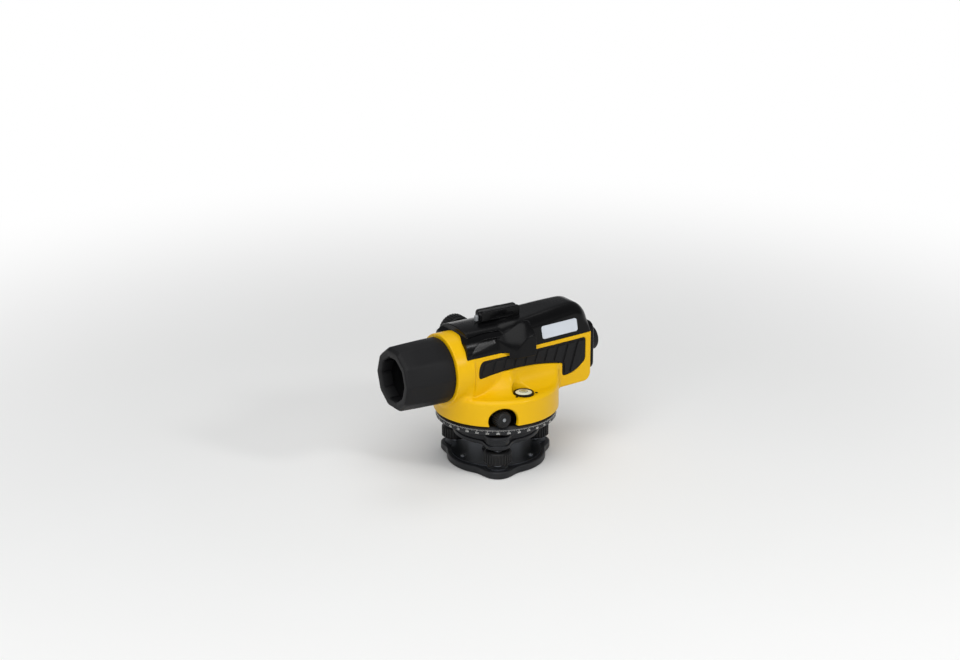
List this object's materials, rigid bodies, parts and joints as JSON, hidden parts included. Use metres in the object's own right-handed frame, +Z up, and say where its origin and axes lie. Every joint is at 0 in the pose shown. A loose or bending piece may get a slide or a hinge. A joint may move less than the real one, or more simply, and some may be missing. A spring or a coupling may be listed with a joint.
{
  "type": "automatic level",
  "caption": "Automatic level: a self-levelling telescope with hood, focusing knob and eyepiece on a skirted housing that turns on a levelling base with foot screws.",
  "frame": {"origin": "centre of the tripod seat on the underside of the base plate, on the vertical axis", "axes": "+Z up along the vertical axis, +X along the line of sight to the objective, +Y to the observer's left"},
  "size_m": [0.2163, 0.116, 0.1463],
  "materials": {
    "yellow_paint": "semi-gloss enamel",
    "cover_black": "glossy moulded",
    "rubber_black": "matte moulded",
    "base_black": "satin enamel",
    "knob_black": "fine moulded texture",
    "cap_black": "satin moulded",
    "inner_black": "black anodised",
    "circle_black": "satin, white graduation",
    "brass": "turned",
    "steel": "turned",
    "alloy": "machined",
    "plate_silver": "satin",
    "copper": "sheet",
    "glass": "polished",
    "bubble_liquid": "polished"
  },
  "bodies": {
    "base": {"base_plate": "base_black", "spring_plate": "steel", "spring_plate_screws": "steel"},
    "tribrach": {"tribrach": "base_black", "foot_screw_bushes": "brass", "axle_sleeve": "brass", "retaining_ring": "steel"},
    "circle": {"horizontal_circle": "circle_black"},
    "clutch": {"worm_wheel": "brass", "clutch_washer": "steel"},
    "alidade": {"worm_bracket": "brass", "spindle": "steel", "main_housing": "yellow_paint", "top_cover": "cover_black", "rear_cap": "cap_black", "rear_cap_screws": "steel", "left_grip_pad": "rubber_black", "right_grip_pad": "rubber_black", "label_plate": "plate_silver", "sight": "cover_black", "sight_bead": "alloy", "bubble_housing": "cap_black", "bubble_vial": "bubble_liquid", "bubble_screws": "steel", "objective_hood": "rubber_black", "objective_cell": "inner_black", "objective_lens": "glass", "telescope_tube": "inner_black", "focus_bush": "brass", "compensator_frame": "alloy", "suspension_tapes": "steel", "damping_magnets": "steel", "roof_prism": "glass", "reticle_cell": "inner_black", "reticle_glass": "glass", "eyepiece_bush": "brass"},
    "worm": {"worm_shaft": "steel", "drive_knob_left": "knob_black", "drive_knob_right": "knob_black"},
    "focus_drive": {"focus_pinion": "steel", "focus_knob": "knob_black"},
    "focus_slide": {"focus_carriage": "brass", "focus_lens": "glass"},
    "eyepiece": {"eyepiece_cell": "inner_black", "eye_lenses": "glass"},
    "eyepiece_turn": {"eyepiece_ring": "knob_black", "eyecup": "rubber_black"},
    "pendulum": {"pendulum": "brass", "pendulum_prism": "glass", "damping_vane": "copper"},
    "pad_1": {"foot_pad_1": "steel"},
    "screw_1": {"foot_screw_1": "steel", "foot_knob_1": "knob_black"},
    "pad_2": {"foot_pad_2": "steel"},
    "screw_2": {"foot_screw_2": "steel", "foot_knob_2": "knob_black"},
    "pad_3": {"foot_pad_3": "steel"},
    "screw_3": {"foot_screw_3": "steel", "foot_knob_3": "knob_black"}
  },
  "joints": [
    {"name": "levelling_tilt", "type": "hinge", "parent": "base", "child": "tribrach", "pos_m": [0, 0, 0.0045], "axis": [0, 1, 0], "range_deg": [-2.5, 2.5]},
    {"name": "foot_screw_1_rise", "type": "slide", "parent": "tribrach", "child": "pad_1", "axis": [0, 0, 1], "range_m": [-0.0019, 0.0019]},
    {"name": "foot_screw_1_turn", "type": "hinge", "parent": "pad_1", "child": "screw_1", "pos_m": [-0.043, 0, 0.018], "axis": [0, 0, 1], "range_deg": [-905, 905]},
    {"name": "foot_screw_2_rise", "type": "slide", "parent": "tribrach", "child": "pad_2", "axis": [0, 0, 1], "range_m": [-0.00095, 0.00095]},
    {"name": "foot_screw_2_turn", "type": "hinge", "parent": "pad_2", "child": "screw_2", "pos_m": [0.0215, 0.03724, 0.018], "axis": [0, 0, 1], "range_deg": [-452.5, 452.5]},
    {"name": "foot_screw_3_rise", "type": "slide", "parent": "tribrach", "child": "pad_3", "axis": [0, 0, 1], "range_m": [-0.00095, 0.00095]},
    {"name": "foot_screw_3_turn", "type": "hinge", "parent": "pad_3", "child": "screw_3", "pos_m": [0.0215, -0.03724, 0.018], "axis": [0, 0, 1], "range_deg": [-452.5, 452.5]},
    {"name": "circle_turn", "type": "hinge", "parent": "tribrach", "child": "circle", "pos_m": [0, 0, 0.045], "axis": [0, 0, 1], "continuous": true},
    {"name": "coarse_turn", "type": "hinge", "parent": "tribrach", "child": "clutch", "pos_m": [0, 0, 0.059], "axis": [0, 0, 1], "continuous": true},
    {"name": "fine_turn", "type": "hinge", "parent": "clutch", "child": "alidade", "pos_m": [0, 0, 0.059], "axis": [0, 0, 1], "continuous": true},
    {"name": "drive_knob_turn", "type": "hinge", "parent": "alidade", "child": "worm", "pos_m": [0.025, 0, 0.0593], "axis": [0, 1, 0], "continuous": true},
    {"name": "focus_lens_slide", "type": "slide", "parent": "alidade", "child": "focus_slide", "axis": [1, 0, 0], "range_m": [-0.01, 0.01]},
    {"name": "focus_knob_turn", "type": "hinge", "parent": "alidade", "child": "focus_drive", "pos_m": [0.017, 0, 0.1143], "axis": [0, 1, 0], "range_deg": [-192, 192]},
    {"name": "eyepiece_slide", "type": "slide", "parent": "alidade", "child": "eyepiece", "axis": [1, 0, 0], "range_m": [-0.0015, 0.0015]},
    {"name": "eyepiece_ring_turn", "type": "hinge", "parent": "eyepiece", "child": "eyepiece_turn", "pos_m": [-0.099, 0, 0.0978], "axis": [1, 0, 0], "range_deg": [-152, 152]},
    {"name": "pendulum_swing", "type": "hinge", "parent": "alidade", "child": "pendulum", "pos_m": [-0.056, 0, 0.1048], "axis": [0, 1, 0], "range_deg": [-0.5, 0.5]}
  ],
  "couplings": [
    {"joint": "foot_screw_1_rise", "follows": "levelling_tilt", "m_per_rad": -0.043},
    {"joint": "foot_screw_1_turn", "follows": "levelling_tilt", "ratio": -360.24},
    {"joint": "foot_screw_2_rise", "follows": "levelling_tilt", "m_per_rad": 0.0215},
    {"joint": "foot_screw_2_turn", "follows": "levelling_tilt", "ratio": 180.12},
    {"joint": "foot_screw_3_rise", "follows": "levelling_tilt", "m_per_rad": 0.0215},
    {"joint": "foot_screw_3_turn", "follows": "levelling_tilt", "ratio": 180.12},
    {"joint": "drive_knob_turn", "follows": "fine_turn", "ratio": 48},
    {"joint": "focus_knob_turn", "follows": "focus_lens_slide", "rad_per_m": -333.33},
    {"joint": "eyepiece_ring_turn", "follows": "eyepiece_slide", "rad_per_m": 1754.4}
  ]
}
